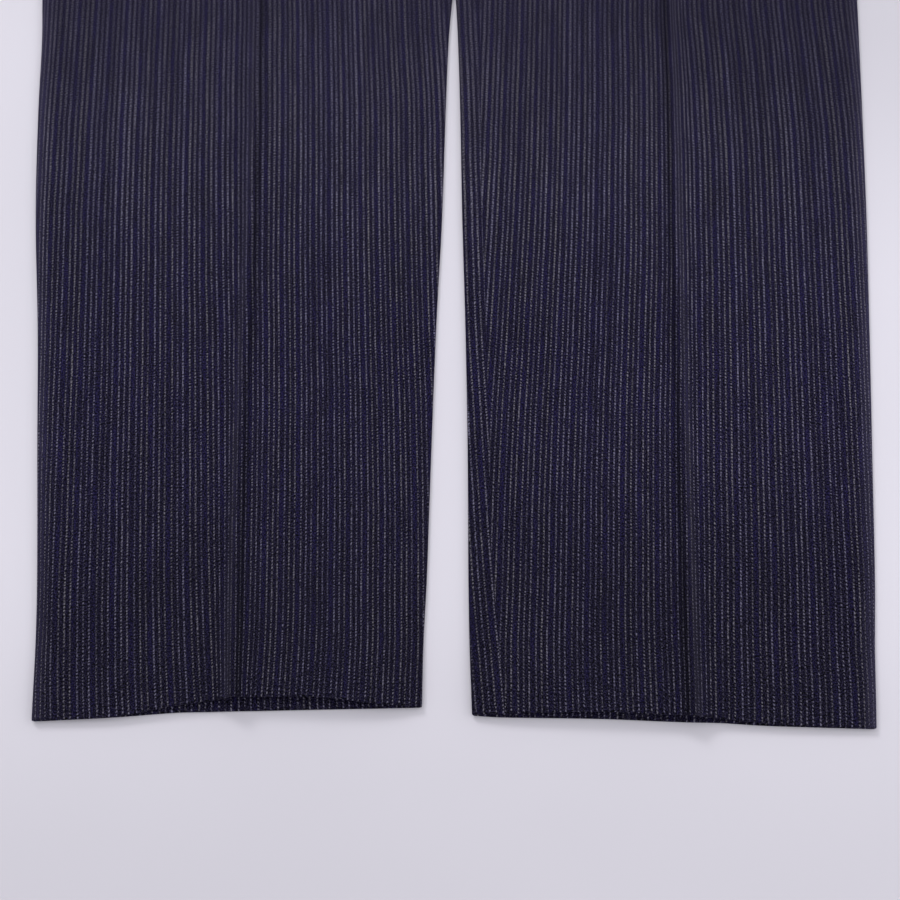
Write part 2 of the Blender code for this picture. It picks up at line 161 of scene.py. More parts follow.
# Up a leg: the radius of its folds, how much of the hem's rise is left, and how wide the
# right back is wrapped onto the front.
ALONG_LEG = table(
    "up fold rise wrap",
    (0.000, 0.00200, 1.00, 0.0215),
    (0.026, 0.00200, 0.93, 0.0209),
    (0.060, 0.00125, 0.84, 0.0195),
    (0.130, 0.00115, 0.66, 0.0158),
    (0.240, 0.00110, 0.50, 0.0154),
    (0.430, 0.00110, 0.38, 0.0154),
    (0.600, 0.00110, 0.33, 0.0188),
    (0.6125, 0.00110, 0.32, 0.0190),
    (0.634, 0.00112, 0.31, 0.0045),
    (CROTCH, 0.00115, 0.30, 0.0),
    (0.700, 0.00140, 0.22, 0.0),
    (0.760, 0.00190, 0.06, 0.0),
    (0.820, 0.00265, 0.00, 0.0),
    (0.880, 0.00350, 0.00, 0.0),
    (WAIST_SEAM, FOLD_AT_WAIST, 0.00, 0.0),
)

# ---- pressed crease
CREASE_ROUND = 0.0011  # radius of the pressed edge
FLANK_AT_HEM = 1.7  # how hollow the ridge's flanks are
FLANK_ABOVE = 2.8
FLANK_EASED = 0.24  # from this height up
PRESSED = 0.0013  # the pressed edge stands up by this
PRESSED_OUT = 0.0050  # and falls off over these widths
PRESSED_IN = 0.0034
PRESS_ENDS = (0.600, 0.700)
LOOK_AT = 0.0030  # where its look shows most, to both sides: a plain band outside, painted shade inside
LOOK_WIDE = 0.0032
LOOK_OUT = 0.30

# ---- stripes in the cloth
# The cloth's own place across: where the crease lies in it, the extra cloth eased into the
# crease's outer and inner flanks, and how much closer the inner half's lines lie.
GRAIN = "up crease outer inner closer"
LEFT_GRAIN = table(
    GRAIN,
    (0.000, 0.0000, 0.0080, 0.0062, 0.150),
    (0.050, -0.0016, 0.0061, 0.0027, 0.145),
    (0.120, -0.0034, 0.0048, 0.0014, 0.130),
    (0.180, -0.0053, 0.0040, 0.0006, 0.120),
    (0.240, -0.0076, 0.0035, 0.0001, 0.112),
    (0.300, -0.0105, 0.0031, -0.0003, 0.105),
    (0.360, -0.0139, 0.0027, -0.0009, 0.095),
    (0.420, -0.0167, 0.0023, -0.0015, 0.082),
    (0.500, -0.0187, 0.0017, -0.0023, 0.074),
    (0.620, -0.0206, 0.0020, -0.0022, 0.074),
    (WAIST_SEAM, -0.0240, 0.0, 0.0, 0.030),
)
RIGHT_GRAIN = table(
    GRAIN,
    (0.000, 0.0000, 0.0060, 0.0028, 0.090),
    (0.060, -0.0016, 0.0056, 0.0010, 0.088),
    (0.120, -0.0031, 0.0050, 0.0008, 0.086),
    (0.200, -0.0052, 0.0048, 0.0008, 0.082),
    (0.300, -0.0086, 0.0054, 0.0016, 0.076),
    (0.380, -0.0113, 0.0062, 0.0022, 0.072),
    (0.460, -0.0130, 0.0067, 0.0021, 0.070),
    (0.510, -0.0132, 0.0075, 0.0025, 0.070),
    (0.554, -0.0128, 0.0083, 0.0031, 0.070),
    (0.620, -0.0125, 0.0096, 0.0040, 0.070),
    (WAIST_SEAM, -0.0240, 0.0, 0.0, 0.030),
)
OUTER_CLOSER = 0.015  # the same for the outer half, at every height
OUTER_FLANK = 0.0200  # the eased cloth spreads over these widths
INNER_FLANK = 0.0200
# The right back's own place across, where its edge is wrapped onto the front.
WRAP_GRAIN = table(
    "up place",
    (0.000, -0.1388),
    (0.100, -0.1458),
    (0.300, -0.1553),
    (0.6125, -0.1633),
    (0.750, -0.1780),
    (WAIST_SEAM, -0.1920),
)
WRAP_TURNS = 1.1  # its own measure holds over this many widths of the wrap
# The side folds: the extra cloth eased round them, and how strongly a painted highlight lightens
# them.
SIDE_FOLDS = table(
    "up left right left_rub right_rub",
    (0.000, 0.0050, 0.0062, 0.44, 1.00),
    (0.040, 0.0064, 0.0058, 0.46, 0.86),
    (0.085, 0.0088, 0.0054, 0.44, 0.74),
    (0.140, 0.0064, 0.0052, 0.44, 0.68),
    (0.220, 0.0048, 0.0050, 0.45, 0.64),
    (0.600, 0.0048, 0.0048, 0.50, 0.55),
    (0.750, 0.0035, 0.0035, 0.40, 0.40),
    (WAIST_SEAM, 0.0, 0.0, 0.20, 0.20),
)
SIDE_EASE = 0.0125  # the easing spreads over this width
SIDE_HIGHLIGHT_WIDTH = 0.0064  # and the painted highlight over this one

# ---- soft folds in the fronts
# Place across, height up, half length, half width, turn from the leg's line and height.
SOFT_FOLD = "place up long wide turn high"
LEFT_FOLDS = table(
    SOFT_FOLD,
    (0.62, 0.105, 0.060, 0.014, 12, 0.0009),
    (0.30, 0.300, 0.110, 0.020, -6, 0.0010),
    (0.78, 0.420, 0.080, 0.013, 9, -0.0005),
    (1.35, 0.180, 0.090, 0.016, -10, 0.0008),
    (1.62, 0.460, 0.100, 0.018, 14, 0.0011),
    (1.80, 0.600, 0.070, 0.010, 38, 0.0012),
    (1.62, 0.655, 0.055, 0.011, 55, 0.0013),
    (0.50, 0.640, 0.080, 0.022, -8, 0.0009),
)
RIGHT_FOLDS = table(
    SOFT_FOLD,
    (0.55, 0.140, 0.070, 0.016, -9, 0.0008),
    (0.25, 0.360, 0.120, 0.018, 5, 0.0010),
    (0.74, 0.500, 0.090, 0.014, -12, -0.0005),
    (1.40, 0.260, 0.080, 0.017, 11, 0.0009),
    (1.68, 0.090, 0.050, 0.012, -7, 0.0007),
    (1.75, 0.618, 0.060, 0.011, 42, 0.0012),
    (1.55, 0.668, 0.060, 0.012, 58, 0.0010),
    (0.45, 0.600, 0.070, 0.020, 10, 0.0010),
)

FOLD_ENDS = 6.0  # where a soft fold has died out
CLEAR_OF_EDGE = (0.004, 0.022)  # they come in over this much from the leg's edges

# ---- how finely cloth is laid out
INNER_STEPS = 5
SIDE_STEPS = 6
PLEAT_SPANS = (5, 14, 14)  # stations on the flat cloth before each pleat
SIDE_SPAN = 34
RAMP_STEPS = 3
OVER_STEPS = 2
FOLD_STEPS = 5
UNDER_STEPS = 3
AFTER_STEPS = 2
NEAR_CREASE_IN = 1.25  # how the stations gather towards the crease
NEAR_CREASE_OUT = 1.35
BACK_SPAN = 46
WRAP_STEPS = 8
WRAP_FOLD_STEPS = 9
NEAR_SEAM = 1.6  # and towards the wrapped seam

Spot = namedtuple("Spot", "x z over")


# ---- sizes read from the tables
def curve(t, span, low, high, slope_low, slope_high):
    """A smooth curve from low to high with the given slopes at its ends."""
    bend = (2 * t - 3) * t * t
    return (low * (1 + bend) - high * bend
            + span * t * (1 - t) * (slope_low * (1 - t) - slope_high * t))


def read(rows, name, at):
    """A smooth curve through one column of a table, keyed by its first column."""
    keys = [row[0] for row in rows]
    values = [getattr(row, name) for row in rows]
    at = min(max(at, keys[0]), keys[-1])
    i = max(k for k in range(len(keys) - 1) if keys[k] <= at)

    def slope(k):
        low = max(k - 1, 0)
        high = min(k + 1, len(keys) - 1)
        return (values[high] - values[low]) / (keys[high] - keys[low])

    span = keys[i + 1] - keys[i]
    return curve((at - keys[i]) / span, span, values[i], values[i + 1], slope(i), slope(i + 1))


def read_straight(rows, name, at):
    """Straight lines through one column of a table, keyed by its first column."""
    for low, high in zip(rows, rows[1:]):
        if at <= high[0]:
            t = max(0.0, (at - low[0]) / (high[0] - low[0]))
            return mix(getattr(low, name), getattr(high, name), t)
    return getattr(rows[-1], name)


def ease(low, high, at):
    """0 below low, 1 above high, and smooth between."""
    t = min(max((at - low) / (high - low), 0.0), 1.0)
    return t * t * (3 - 2 * t)


def mix(a, b, share):
    return a + (b - a) * share


def of_side(side, left, right):
    return left if side == LEFT else right


def outline(side, name, up):
    return read(of_side(side, LEFT_OUTLINE, RIGHT_OUTLINE), name, up)


def hem_of(side):
    return of_side(side, LEFT_HEM, RIGHT_HEM)


def pleat_depth(up):
    share = min(max((up - PLEAT_OPEN) / (WAIST_SEAM - PLEAT_OPEN), 0.0), 1.0)
    return PLEAT_DEPTH * share ** PLEAT_EASE


def side_edge(side, up):
    return outline(side, "side", up) - 2 * PLEATS * pleat_depth(up)


def crease_line(side, up):
    return outline(side, "crease", up)


def inner_edge(side, up):
    if up < CUSP:
        return outline(side, "inner", up)
    lean = CENTRE_AT_CROTCH * (1 - ease(CROTCH, WAIST_SEAM, up))
    return side * lean + SEAM_GAP / 2


def fold_radius(up):
    return read(ALONG_LEG, "fold", up)


def wrap_width(side, up):
    return read_straight(ALONG_LEG, "wrap", up) if side == RIGHT else 0.0


def place_across(side, up, x):
    """0 at the side fold, 1 at the crease, 2 at the inner fold."""
    crease = crease_line(side, up)
    edge = outline(side, "side", up)
    if x >= crease:
        return min(max((edge - x) / (edge - crease), 0.0), 1.0)
    return min(1 + (crease - x) / (crease - inner_edge(side, up)), 2.0)


def ridge_and_hollow(side, up, x):
    """The front's height at the hem for this place: a pressed ridge, smooth to both sides."""
    rows = hem_of(side)
    place = place_across(side, up, x)
    top = [row.place for row in rows].index(1.0)
    i = max(k for k in range(len(rows) - 1) if rows[k].place <= place)
    low, high = rows[i], rows[i + 1]
    width = high.place - low.place
    if top in (i, i + 1):
        foot = low if i + 1 == top else high
        edge = outline(side, "side", up)
        crease = crease_line(side, up)
        metres = (edge - crease) if i + 1 == top else (crease - inner_edge(side, up))
        away = abs(place - 1) * metres
        rounded = math.hypot(away, CREASE_ROUND) - CREASE_ROUND
        t = min(rounded / (width * metres), 1.0)
        power = mix(FLANK_AT_HEM, FLANK_ABOVE, ease(0.0, FLANK_EASED, up))
        return foot.rise + (rows[top].rise - foot.rise) * (1 - t) ** power

    def slope(k):
        if abs(k - top) <= 1 or k in (0, len(rows) - 1):
            return 0.0
        return (rows[k + 1].rise - rows[k - 1].rise) / (rows[k + 1].place - rows[k - 1].place)

    t = (place - low.place) / width
    return curve(t, width, low.rise, high.rise, slope(i), slope(i + 1))


def pressed_edge(side, up, x):
    away = x - crease_line(side, up)
    width = PRESSED_OUT if away > 0 else PRESSED_IN
    rounded = math.hypot(away, CREASE_ROUND) - CREASE_ROUND
    return PRESSED * math.exp(-rounded / width) * (1 - ease(*PRESS_ENDS, up))


def crease_plain_and_shade(side, up, spot):
    """Beside the crease: above 0 outside it, lines evened out; below 0 inside it, painted shade.
    """
    if not spot.over or up > PRESS_ENDS[1]:
        return 0.0
    away = spot.x - crease_line(side, up)
    if away > 0:
        look = LOOK_OUT * math.exp(-((away - LOOK_AT) / LOOK_WIDE) ** 2)
    else:
        look = -math.exp(-((away + LOOK_AT) / LOOK_WIDE) ** 2)
    return look * (1 - ease(*PRESS_ENDS, up)) * ease(0.0, LOOK_AT, abs(away))


def side_fold_highlight(side, up, x):
    """How strongly the painted highlight lightens the cloth: most on the side fold, and less
    inside it.
    """
    rub = read(SIDE_FOLDS, of_side(side, "left_rub", "right_rub"), up)
    return rub * math.exp(-((side_edge(side, up) - x) / SIDE_HIGHLIGHT_WIDTH) ** 2)


def soft_folds(side, up, x):
    """Soft troughs and ridges, placed as listed."""
    height = 0.0
    for fold in of_side(side, LEFT_FOLDS, RIGHT_FOLDS):
        crease = crease_line(side, fold.up)
        edge = outline(side, "side", fold.up)
        inner = inner_edge(side, fold.up)
        if fold.place <= 1:
            middle = edge + (crease - edge) * fold.place
        else:
            middle = crease + (inner - crease) * (fold.place - 1)
        turn = math.radians(fold.turn)
        dx, dy = x - middle, up - fold.up
        along = dy * math.cos(turn) + dx * math.sin(turn)
        across = dx * math.cos(turn) - dy * math.sin(turn)
        reach = (along / fold.long) ** 2 + (across / fold.wide) ** 2
        if reach < FOLD_ENDS:
            height += fold.high * math.exp(-reach)
    return height


def flat_share(side, up, x):
    """0 at the leg's two edges and 1 inside them, so that soft folds die out there."""
    near = min(side_edge(side, up) - x, x - inner_edge(side, up) - wrap_width(side, up))
    return ease(*CLEAR_OF_EDGE, near)


def seam_ditch(side, up, x):
    """The slight sinking of the cloth into a sewn seam."""
    wrap = wrap_width(side, up)
    share = 1.0 if wrap > 0 else ease(CROTCH, CROTCH_FLAT, up)
    away = (x - inner_edge(side, up) - wrap) / DITCH_WIDTH
    return -DITCH * share * math.exp(-away * away) if abs(away) < DITCH_ENDS else 0.0


def top_level(side, up, x):
    share = read(ALONG_LEG, "rise", up)
    level = WALL / 2 + 2 * fold_radius(up) + ridge_and_hollow(side, up, x) * share
    level += soft_folds(side, up, x) * flat_share(side, up, x) + pressed_edge(side, up, x)
    return level + seam_ditch(side, up, x)


def front_dip(x):
    """How far the front waist dips at this place across."""
    share = min(abs(x) / SIDE_AT_WAIST, 1.0)
    return WAIST_DIP * (1 - share * share)


def along_y(side, up, x, over):
    """A section's own Y: slanted and arched at the hem, and dipped at the front waist."""
    column = "front_hem" if over else "back_hem"
    shift = 0.0
    if up < HEM_FADE:
        shift = read(hem_of(side), column, place_across(side, up, x))
    y = up + shift * (1 - ease(0.0, HEM_FADE, up))
    if over:
        y -= front_dip(x) * ease(DIP_START, WAIST_SEAM, up)
    return y - Y_MIDDLE


# ---- edges, folds and paths
def roll(radius, angle, steps):
    """Along an edge that ends in a turn: distance and drop at each step."""
    length = radius * math.pi / 2
    straight = length - radius * angle
    spots = []
    for i in range(steps + 1):
        s = length * i / steps
        turned = max(0.0, (s - straight) / radius)
        spots.append((min(s, straight) + radius * math.sin(turned),
                      radius * (1 - math.cos(turned))))
    return spots


def spot_at(x, top, drop, front):
    """A spot of a front, below its top level, or of a back, above the floor's level."""
    return Spot(x, top - drop, True) if front else Spot(x, WALL / 2 + drop, False)


def inner_turn(side, up, front, steps):
    """From the inner seam to the flat cloth."""
    radius = fold_radius(up)
    wrap = wrap_width(side, up)
    wrapped = front and wrap > 0
    angle = 0.0 if wrapped else (1 - ease(CROTCH, CROTCH_FLAT, up)) * math.pi / 2
    limit = inner_edge(side, up) + (wrap + SEAM_GAP if wrapped else 0.0)
    spots = roll(radius, angle, steps)
    edge_x = limit + math.sin(angle) * WALL / 2
    path = []
    for i, (along, drop) in enumerate(reversed(spots)):
        x = edge_x + spots[-1][0] - along
        drop -= math.sin(angle) * SEAM_GAP / 2 if i == 0 else 0.0
        path.append(spot_at(x, top_level(side, up, x), drop, front))
    return path


def side_turn(side, up, front):
    """From the flat cloth to the side seam."""
    spots = roll(fold_radius(up), math.pi / 2, SIDE_STEPS)
    edge_x = side_edge(side, up) - WALL / 2
    path = []
    for i, (along, drop) in enumerate(spots):
        x = edge_x - spots[-1][0] + along
        drop -= SEAM_GAP / 2 if i == SIDE_STEPS else 0.0
        path.append(spot_at(x, WALL / 2 + 2 * fold_radius(up), drop, front))
    return path


def between(a, b, count):
    """count values evenly between a and b, without either."""
    return [a + (b - a) * (i + 1) / (count + 1) for i in range(count)]


def pleat_path(line, depth, angle):
    """X and height above the flat cloth from a pleat's foot to just past it."""
    bend_length = math.pi * PLEAT_STACK / 2
    x, z, heading = 0.0, 0.0, 0.0
    folded = [(x, z)]
    for fold, turn in enumerate((-angle, angle)):
        for _ in range(FOLD_STEPS):
            step = bend_length / FOLD_STEPS
            bend = turn / FOLD_STEPS
            x += step * math.cos(heading + bend / 2)
            z += step * math.sin(heading + bend / 2)
            heading += bend
            folded.append((x, z))
        if fold == 0:
            for _ in range(UNDER_STEPS):
                x += depth / UNDER_STEPS * math.cos(heading)
                z += depth / UNDER_STEPS * math.sin(heading)
                folded.append((x, z))
    climb = -z
    start = line - PLEAT_STACK / 2
    under = start - depth - PLEAT_CLEAR
    foot = under - PLEAT_RAMP
    path = [(mix(foot, under, i / RAMP_STEPS), climb * ease(0, RAMP_STEPS, i))
            for i in range(RAMP_STEPS + 1)]
    path += [(px, climb) for px in between(under, start, OVER_STEPS)]
    path += [(start + px, climb + pz) for px, pz in folded]
    last = start + x
    path += [(last + PLEAT_CLEAR * (i + 1) / AFTER_STEPS, 0.0) for i in range(AFTER_STEPS)]
    return path


FOLD_AT = RAMP_STEPS + 1 + OVER_STEPS  # the fold's own place in pleat_path


def pleated_spots(side, up, first_x, last_x):
    """X and stack height from the inner turn to the side turn, through the pleats."""
    depth = max(pleat_depth(up), WALL)
    angle = math.pi * ease(PLEAT_FADE, PLEAT_OVER, up)
    last_line = crease_line(side, up)
    spots = []
    x = first_x
    for pleat in range(PLEATS):
        open_line = mix(FIRST_PLEAT, last_line, pleat / (PLEATS - 1))
        path = pleat_path(open_line - 2 * pleat * pleat_depth(up), depth, angle)
        spots += [(px, 0.0) for px in between(x, path[0][0], PLEAT_SPANS[pleat])]
        spots += path
        x = path[-1][0]
    spots += [(px, 0.0) for px in between(x, last_x, SIDE_SPAN)]
    return spots


PLEAT_SIZE = FOLD_AT + 1 + 2 * FOLD_STEPS + UNDER_STEPS + AFTER_STEPS
CREASE_AT = sum(PLEAT_SPANS) + (PLEATS - 1) * PLEAT_SIZE + FOLD_AT


def front_path(side, up):
    """The front panel's section, from the inner seam over the crease to the side seam."""
    start = inner_turn(side, up, True, INNER_STEPS)
    end = side_turn(side, up, True)
    first_x, last_x = start[-1].x, end[0].x
    crease = crease_line(side, up)
    folded = ease(CROTCH, PLEAT_FADE, up)
    pleated = pleated_spots(side, up, first_x, last_x)
    path = list(start)
    outer_count = len(pleated) - CREASE_AT
    for i, (pleat_x, stack) in enumerate(pleated):
        if i <= CREASE_AT:
            share = (CREASE_AT - i) / (CREASE_AT + 1)
            home = crease + (first_x - crease) * share ** NEAR_CREASE_IN
        else:
            share = (i - CREASE_AT) / outer_count
            home = crease + (last_x - crease) * share ** NEAR_CREASE_OUT
        x = mix(home, pleat_x, folded)
        path.append(Spot(x, top_level(side, up, x) + stack * folded, True))
    return path + end


def back_path(side, up):
    """The back panel's section; the right one starts on the front, round the inner fold."""
    radius = fold_radius(up)
    wrap = wrap_width(side, up)
    turns = WRAP_STEPS + WRAP_FOLD_STEPS - 1
    if wrap > 0:
        inner = inner_edge(side, up)
        seam_x = inner + wrap - SEAM_GAP / 2
        fold_x = inner + WALL / 2 + radius
        start = []
        for i in range(WRAP_STEPS):
            x = mix(seam_x, fold_x, (i / WRAP_STEPS) ** NEAR_SEAM)
            start.append(Spot(x, top_level(side, up, x), True))
        for i in range(WRAP_FOLD_STEPS):
            turn = math.pi / 2 + math.pi * i / (WRAP_FOLD_STEPS - 1)
            x = fold_x + radius * math.cos(turn)
            z = WALL / 2 + radius + radius * math.sin(turn)
            start.append(Spot(x, z, i < WRAP_FOLD_STEPS / 2))
    else:
        steps = turns if side == RIGHT else INNER_STEPS
        start = inner_turn(side, up, False, steps)
    end = side_turn(side, up, False)
    flat = [Spot(x, WALL / 2, False) for x in between(start[-1].x, end[0].x, BACK_SPAN)]
    return start + flat + end


# ---- the cloth's own measure
def lengths(path):
    """Distance along the path to each spot."""
    total = 0.0
    found = [0.0]
    for a, b in zip(path, path[1:]):
        total += math.hypot(b.x - a.x, b.z - a.z)
        found.append(total)
    return found


def pleated_lengths(up, path):
    """Distance across the front; a pleat takes up only its own depth of cloth, twice."""
    along = lengths(path)
    found = along[:]
    folded = ease(CROTCH, PLEAT_FADE, up)
    foot = INNER_STEPS + 1
    for span in PLEAT_SPANS:
        foot += span
        last = foot + PLEAT_SIZE - 1
        length = along[last] - along[foot]
        wanted = path[last].x - path[foot].x + 2 * pleat_depth(up)
        scale = mix(1.0, wanted / length, folded)
        for i in range(foot + 1, len(path)):
            inside = min(along[i], along[last]) - along[foot]
            found[i] -= inside * (1 - scale)
        foot = last + 1
    return found


def front_cloth_across(side, up, path):
    """Where each spot lies across the woven cloth, measured from the crease outwards."""
    rows = of_side(side, LEFT_GRAIN, RIGHT_GRAIN)
    along = pleated_lengths(up, path)
    crease_at = INNER_STEPS + 1 + CREASE_AT
    start, outer, inner, closer = (read(rows, name, up) for name in rows[0]._fields[1:])
    edge = read(SIDE_FOLDS, of_side(side, "left", "right"), up)
    across = []
    for s in along:
        d = s - along[crease_at]
        if d >= 0:
            extra = outer * (1 - max(0.0, 1 - d / OUTER_FLANK) ** 2) + OUTER_CLOSER * d
        else:
            extra = -inner * (1 - max(0.0, 1 + d / INNER_FLANK) ** 2) + closer * d
        extra += edge * max(0.0, 1 - (along[-1] - s) / SIDE_EASE) ** 2
        across.append(start + d + extra)
    return across


def back_cloth_across(side, up, path):
    """Where each spot of a back panel lies across the woven cloth."""
    rows = of_side(side, LEFT_GRAIN, RIGHT_GRAIN)
    along = lengths(path)
    crease = crease_line(side, up)
    at_crease = along[-1]
    for i in range(1, len(path)):
        low, high = path[i - 1], path[i]
        if not low.over and low.x <= crease < high.x:
            at_crease = mix(along[i - 1], along[i], (crease - low.x) / (high.x - low.x))
    start = read(rows, "crease", up)
    grain = [start + s - at_crease for s in along]
    if side == LEFT:
        return grain
    seam_x = inner_edge(side, up) + wrap_width(side, up)
    shift = read(WRAP_GRAIN, "place", up) - seam_x
    fold = wrap_width(side, up) * WRAP_TURNS
    return [mix(s + shift, g, ease(fold, at_crease, s)) for s, g in zip(along, grain)]


def headings(path):
    """The direction of the path at each spot."""
    last = len(path) - 1
    found = []
    for i in range(len(path)):
        low, high = path[max(i - 1, 0)], path[min(i + 1, last)]
        found.append(math.atan2(high.z - low.z, high.x - low.x))
    return found


def off_path(x, z, heading, offset):
    """The point beside a path by offset, to the left of its heading."""
    return x - math.sin(heading) * offset, z + math.cos(heading) * offset


def evenly(start, end, step):
    count = max(1, round((end - start) / step))
    return [start + (end - start) * i / count for i in range(count + 1)]


OUTER_PLY = (WALL - PLY) / 2
HEM_RADIUS = (PLY + PLY_GAP) / 2
HEM_MIDDLE = HEM_RADIUS + PLY / 2
HEM_FOLD_STEPS = 6
FACING_UPS = (HEM_TURN, 0.0205, 0.0160, 0.0110, 0.0065, 0.0030, LOWEST_ROW)


def cloth_rows(ups):
    """Rows of a panel: height, offset of the ply, shift at the hem, and cloth length."""
    rows = []
    turned = HEM_MIDDLE - HEM_RADIUS * math.pi
    for up in FACING_UPS:
        rows.append((up, OUTER_PLY - PLY - PLY_GAP, 0.0, turned - (up - HEM_MIDDLE)))
    for i in range(HEM_FOLD_STEPS, -1, -1):
        turn = math.pi * i / HEM_FOLD_STEPS
        offset = OUTER_PLY - HEM_RADIUS + HEM_RADIUS * math.cos(turn)
        shift = -HEM_RADIUS * math.sin(turn)
        rows.append((HEM_MIDDLE, offset, shift, HEM_MIDDLE - HEM_RADIUS * turn))
    rows += [(up, OUTER_PLY, 0.0, up) for up in ups]
    return rows


def panel_spots(side, front, ups):
    """A panel as rows of x, y, z, place across and along the cloth, and its two looks: the
    crease's, with painted shade, and the painted highlight on the side fold.
    """
    facing = 1 if front else -1
    cloth_across = front_cloth_across if front else back_cloth_across
    made = []
    for up, offset, shift, length in cloth_rows(ups):
        path = front_path(side, up) if front else back_path(side, up)
        across = cloth_across(side, up, path)
        row = []
        for spot, heading, u in zip(path, headings(path), across):
            x, z = off_path(spot.x, spot.z, heading, facing * offset)
            y = along_y(side, up, spot.x, spot.over) + shift
            row.append((side * x, y, z, u, length, crease_plain_and_shade(side, up, spot),
                        side_fold_highlight(side, up, spot.x)))
        made.append(row)
    return made


# ---- cloth as meshes
def sheet_mesh(name, rows, flip):
    """A grid of faces through the rows, with the cloth's own measure as its UV map."""
    sheet = bmesh.new()
    measure = sheet.loops.layers.uv.new("cloth")
    # The crease's look: lines evened out into a plain band outside it, and painted shade inside
    # it.
    pressed = sheet.verts.layers.float.new("pressed")
    # The painted highlight on the side folds.
    side_highlight = sheet.verts.layers.float.new("side_highlight")
    grid = [[sheet.verts.new(spot[:3]) for spot in row] for row in rows]
    for verts, row in zip(grid, rows):
        for vert, spot in zip(verts, row):
            vert[pressed], vert[side_highlight] = spot[5:7]
    for j in range(len(rows) - 1):
        for i in range(len(rows[0]) - 1):
            corners = [(j, i), (j, i + 1), (j + 1, i + 1), (j + 1, i)]
            if flip:
                corners.reverse()
            face = sheet.faces.new([grid[a][b] for a, b in corners])
            for loop, (a, b) in zip(face.loops, corners):
                loop[measure].uv = rows[a][b][3:5]
    mesh = bpy.data.meshes.new(name)
    sheet.to_mesh(mesh)
    sheet.free()
    return mesh


def placed(name, data):
    made = bpy.data.objects.new(name, data)
    bpy.context.scene.collection.objects.link(made)
    return made


def select_only(*pieces):
    """Selects these pieces and nothing else; the first one is active."""
    bpy.ops.object.select_all(action="DESELECT")
    for piece in pieces:
        piece.select_set(True)
        bpy.context.view_layer.objects.active = pieces[0]


def thickened(piece, thickness):
    """Gives a sheet its thickness, half to each side."""
    select_only(piece)
    wall = piece.modifiers.new("ply", "SOLIDIFY")
    wall.thickness = thickness
    wall.offset = 0.0
    bpy.ops.object.modifier_apply(modifier=wall.name)


def cloth_piece(name, mesh, material, node, thickness=None):
    """A finished piece of cloth in its node's place."""
    piece = placed(name, mesh)
    if thickness:
        thickened(piece, thickness)
    piece.data.shade_smooth()
    piece.data.set_sharp_from_angle(angle=SHARP)
    piece.data.materials.append(material)
    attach(piece, "root")
    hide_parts(node)
    return piece


# ---- waistband
BAND_CORNER = 0.0012
BAND_CORNER_STEPS = 4
BAND_STEP = 0.0016
ROW_IN = 0.0032  # stitching lies this far in from the band's edges
ROW_DENT = 0.00035
ROW_DENT_WIDTH = 0.0011
ROW_PLACES = (-1.6, -0.8, 0.0, 0.8, 1.6)  # points across a dent, in its widths

FACE_PLACES = (0.3, 0.5, 0.7)  # points between the rows, as shares of the band's width

Place = namedtuple("Place", "x z heading")


def band_path(front):
    """The band's middle from one side seam to the other."""
    level = BAND / 2 + (2 * FOLD_AT_WAIST if front else 0.0)
    down = 1 if front else -1
    spots = roll(FOLD_AT_WAIST, math.pi / 2, SIDE_STEPS)
    edge_x = SIDE_AT_WAIST + WALL / 2 - BAND / 2
    half = []
    for i, (along, drop) in enumerate(spots):
        gap = SEAM_GAP / 2 if i == SIDE_STEPS else 0.0
        turned = -down * math.pi / 2 * i / SIDE_STEPS
        half.append(Place(edge_x - spots[-1][0] + along, level - down * (drop - gap), turned))
    flat = half[0].x
    middle = [Place(x, level, 0.0) for x in evenly(-flat, flat, BAND_STEP)[1:-1]]
    mirrored = [Place(-p.x, p.z, -p.heading) for p in reversed(half)]
    return mirrored + middle + half


def band_section():
    """The band's closed section: height up its width, and offset from its middle."""
    width = BAND_TOP - WAIST_SEAM - SEAM_GAP
    half = BAND / 2
    turns = [math.pi / 2 * i / BAND_CORNER_STEPS for i in range(BAND_CORNER_STEPS + 1)]
    rows = (ROW_IN, width - ROW_IN)
    places = [row + ROW_DENT_WIDTH * k for row in rows for k in ROW_PLACES]
    places += [width * share for share in FACE_PLACES]
    corner = [(BAND_CORNER * (1 - math.cos(t)), half - BAND_CORNER * (1 - math.sin(t)))
              for t in turns]
    face = list(corner)
    for w in sorted(places):
        dent = sum(math.exp(-((w - row) / ROW_DENT_WIDTH) ** 2) for row in rows)
        face.append((w, half - ROW_DENT * dent))
    face += [(width - w, offset) for w, offset in reversed(corner)]
    return face + [(w, -offset) for w, offset in reversed(face)]


def band_y(x, over, up):
    return up - (front_dip(x) if over else 0.0) - Y_MIDDLE


def band_cloth(name, front, material, node):
    """Half of the waistband: doubled cloth with rounded edges, sunk along its stitching."""
    facing = 1 if front else -1
    section = band_section()
    path = band_path(front)
    along = lengths(path)
    shell = bmesh.new()
    measure = shell.loops.layers.uv.new("cloth")
    rings = []
    places = {}
    for place, s in zip(path, along):
        ring = []
        for w, offset in section:
            x, z = off_path(place.x, place.z, place.heading, facing * offset)
            y = band_y(place.x, front, WAIST_SEAM + SEAM_GAP + w)
            vert = shell.verts.new((x, y, z))
            places[vert] = (w + (0.0 if offset > 0 else BAND_TOP), s)
            ring.append(vert)
        rings.append(ring)
    for low, high in zip(rings, rings[1:]):
        for i in range(len(section)):
            k = (i + 1) % len(section)
            shell.faces.new((low[i], high[i], high[k], low[k]))
    shell.faces.new(rings[0])
    shell.faces.new(list(reversed(rings[-1])))
    bmesh.ops.recalc_face_normals(shell, faces=shell.faces)
    for face in shell.faces:
        for loop in face.loops:
            loop[measure].uv = places[loop.vert]
    mesh = bpy.data.meshes.new(name)
    shell.to_mesh(mesh)
    shell.free()
    return cloth_piece(name, mesh, material, node)


